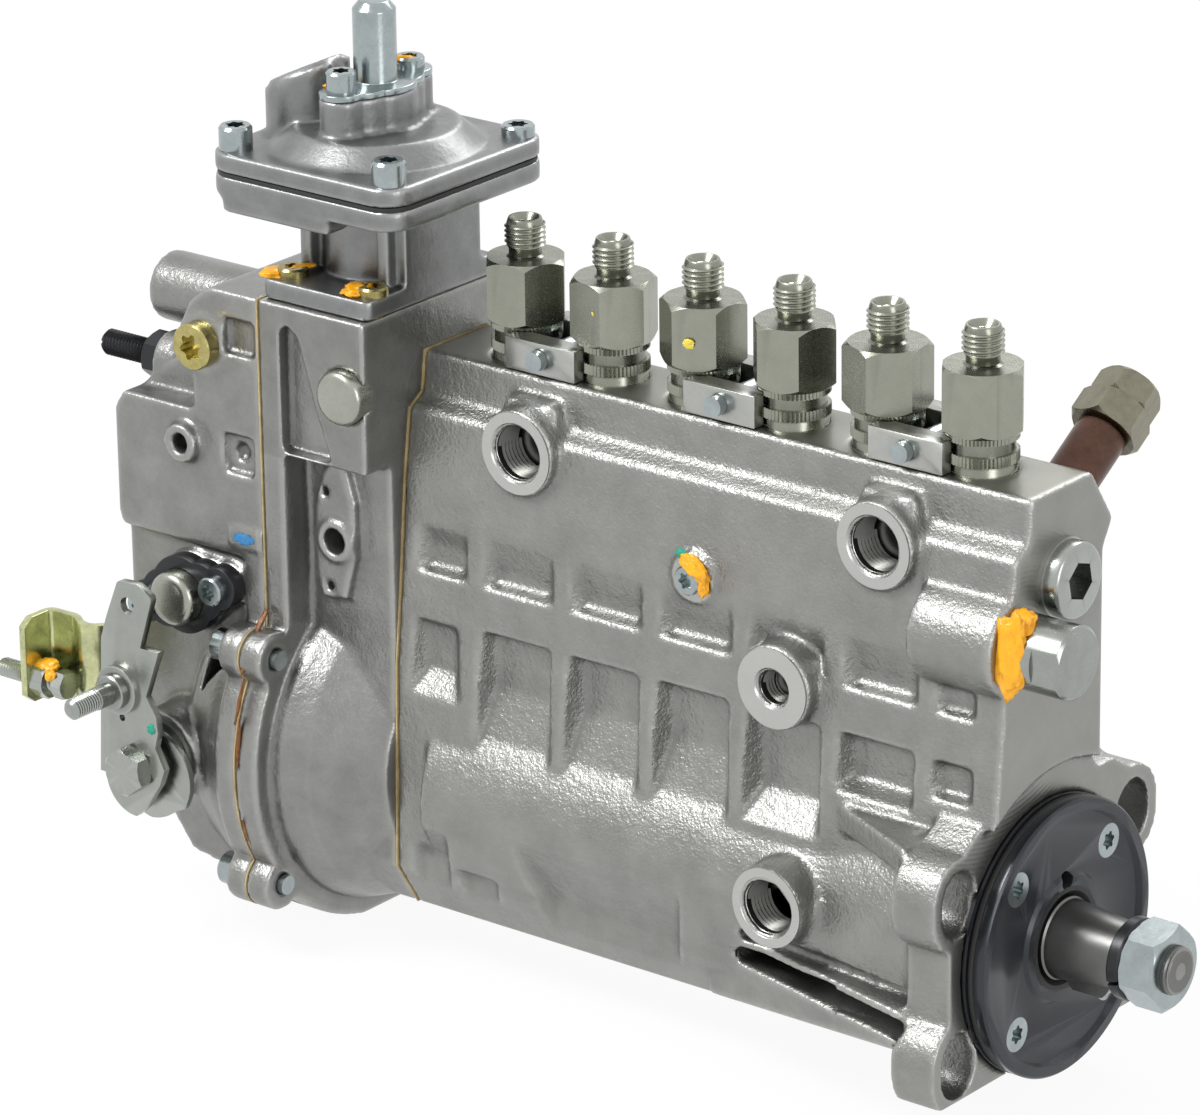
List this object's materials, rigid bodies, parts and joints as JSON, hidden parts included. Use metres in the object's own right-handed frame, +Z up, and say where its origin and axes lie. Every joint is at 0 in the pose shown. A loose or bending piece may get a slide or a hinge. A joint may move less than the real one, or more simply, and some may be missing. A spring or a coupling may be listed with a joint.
{
  "type": "in-line diesel injection pump",
  "caption": "In-line diesel injection pump with plunger elements in a ribbed housing, delivery valve holders, camshaft, flyweight governor, control lever and boost unit.",
  "frame": {"origin": "camshaft axis at the mounting face of the flange", "axes": "+X along the camshaft out of the drive end, +Y to the back, +Z up along the plungers"},
  "size_m": [0.3916, 0.147, 0.2871],
  "materials": {
    "cast_aluminium": "rough cast",
    "die_cast": "smooth cast",
    "machined_aluminium": "turned",
    "steel": "machined",
    "dark_steel": "phosphated",
    "zinc": "blue zinc plated",
    "yellow_zinc": "yellow zinc plated",
    "brown_steel": "browned",
    "rubber": "matte",
    "gasket": "fibre sheet"
  },
  "bodies": {
    "pump": {"pump_housing": "cast_aluminium", "cover_screws": "zinc", "rack_cap": "zinc", "gallery_plug": "steel", "rack_guide_screw": "zinc", "drive_end_cover": "machined_aluminium", "drive_end_seals": "rubber", "bearing_cups": "steel", "plunger_springs": "steel", "barrels": "steel", "delivery_valves": "steel", "valve_holders": "steel", "clamp_jaws": "steel", "clamp_screws": "zinc", "overflow_valve": "brown_steel", "core_plugs": "zinc", "governor_housing": "cast_aluminium", "governor_gaskets": "gasket", "governor_cover": "cast_aluminium", "cover_bolts": "zinc", "shaft_retainer": "dark_steel", "retainer_screws": "zinc", "sealing_plug": "yellow_zinc", "adjusting_screw": "dark_steel", "governor_spring": "steel", "return_plate": "yellow_zinc", "stop_bracket": "yellow_zinc", "stop_screw": "zinc", "boost_housing": "die_cast", "diaphragm": "rubber", "boost_cover": "die_cast", "boost_spring": "steel", "pin_cap": "zinc", "boost_screws": "zinc", "tappet_1": "steel", "tappet_2": "steel", "tappet_3": "steel", "tappet_4": "steel", "tappet_5": "steel", "tappet_6": "steel"},
    "camshaft": {"camshaft": "steel", "woodruff_key": "steel", "spring_washer": "dark_steel", "shaft_nut": "zinc", "bearing_cones": "steel", "flyweight_carrier": "steel"},
    "flyweight_upper": {"flyweight_upper": "steel"},
    "flyweight_lower": {"flyweight_lower": "steel"},
    "governor_sleeve": {"governor_sleeve": "steel"},
    "control_rack": {"control_rack": "steel"},
    "control_lever": {"control_shaft": "steel", "control_lever": "steel", "lever_fasteners": "steel"},
    "boost_rod": {"boost_rod": "steel"},
    "control_sleeve_1": {"control_sleeve_1": "steel"},
    "control_sleeve_2": {"control_sleeve_2": "steel"},
    "control_sleeve_3": {"control_sleeve_3": "steel"},
    "control_sleeve_4": {"control_sleeve_4": "steel"},
    "control_sleeve_5": {"control_sleeve_5": "steel"},
    "control_sleeve_6": {"control_sleeve_6": "steel"}
  },
  "joints": [
    {"name": "camshaft_spin", "type": "hinge", "parent": "pump", "child": "camshaft", "pos_m": [0, 0, 0], "axis": [1, 0, 0], "continuous": true},
    {"name": "flyweight_swing", "type": "hinge", "parent": "camshaft", "child": "flyweight_upper", "pos_m": [-0.226, 0, 0.022], "axis": [0, 1, 0], "range_deg": [0, 15]},
    {"name": "flyweight_swing_lower", "type": "hinge", "parent": "camshaft", "child": "flyweight_lower", "pos_m": [-0.226, 0, -0.022], "axis": [0, -1, 0], "range_deg": [0, 15]},
    {"name": "governor_sleeve_slide", "type": "slide", "parent": "pump", "child": "governor_sleeve", "axis": [-1, 0, 0], "range_m": [0, 0.0034]},
    {"name": "rack_slide", "type": "slide", "parent": "pump", "child": "control_rack", "axis": [1, 0, 0], "range_m": [-0.009, 0.009]},
    {"name": "sleeve_1_turn", "type": "hinge", "parent": "pump", "child": "control_sleeve_1", "pos_m": [-0.183, 0, 0.092], "axis": [0, 0, 1], "range_deg": [-30, 30]},
    {"name": "sleeve_2_turn", "type": "hinge", "parent": "pump", "child": "control_sleeve_2", "pos_m": [-0.151, 0, 0.092], "axis": [0, 0, 1], "range_deg": [-30, 30]},
    {"name": "sleeve_3_turn", "type": "hinge", "parent": "pump", "child": "control_sleeve_3", "pos_m": [-0.119, 0, 0.092], "axis": [0, 0, 1], "range_deg": [-30, 30]},
    {"name": "sleeve_4_turn", "type": "hinge", "parent": "pump", "child": "control_sleeve_4", "pos_m": [-0.087, 0, 0.092], "axis": [0, 0, 1], "range_deg": [-30, 30]},
    {"name": "sleeve_5_turn", "type": "hinge", "parent": "pump", "child": "control_sleeve_5", "pos_m": [-0.055, 0, 0.092], "axis": [0, 0, 1], "range_deg": [-30, 30]},
    {"name": "sleeve_6_turn", "type": "hinge", "parent": "pump", "child": "control_sleeve_6", "pos_m": [-0.023, 0, 0.092], "axis": [0, 0, 1], "range_deg": [-30, 30]},
    {"name": "lever_swing", "type": "hinge", "parent": "pump", "child": "control_lever", "pos_m": [-0.2809, -0.064, 0.002], "axis": [0, 1, 0], "range_deg": [-10, 30]},
    {"name": "boost_rod_slide", "type": "slide", "parent": "pump", "child": "boost_rod", "axis": [0, 0, -1], "range_m": [0, 0.008]}
  ],
  "couplings": [
    {"joint": "flyweight_swing", "follows": "governor_sleeve_slide", "rad_per_m": 76.92},
    {"joint": "flyweight_swing_lower", "follows": "governor_sleeve_slide", "rad_per_m": 76.92},
    {"joint": "sleeve_1_turn", "follows": "rack_slide", "rad_per_m": 57.14},
    {"joint": "sleeve_2_turn", "follows": "rack_slide", "rad_per_m": 57.14},
    {"joint": "sleeve_3_turn", "follows": "rack_slide", "rad_per_m": 57.14},
    {"joint": "sleeve_4_turn", "follows": "rack_slide", "rad_per_m": 57.14},
    {"joint": "sleeve_5_turn", "follows": "rack_slide", "rad_per_m": 57.14},
    {"joint": "sleeve_6_turn", "follows": "rack_slide", "rad_per_m": 57.14}
  ]
}
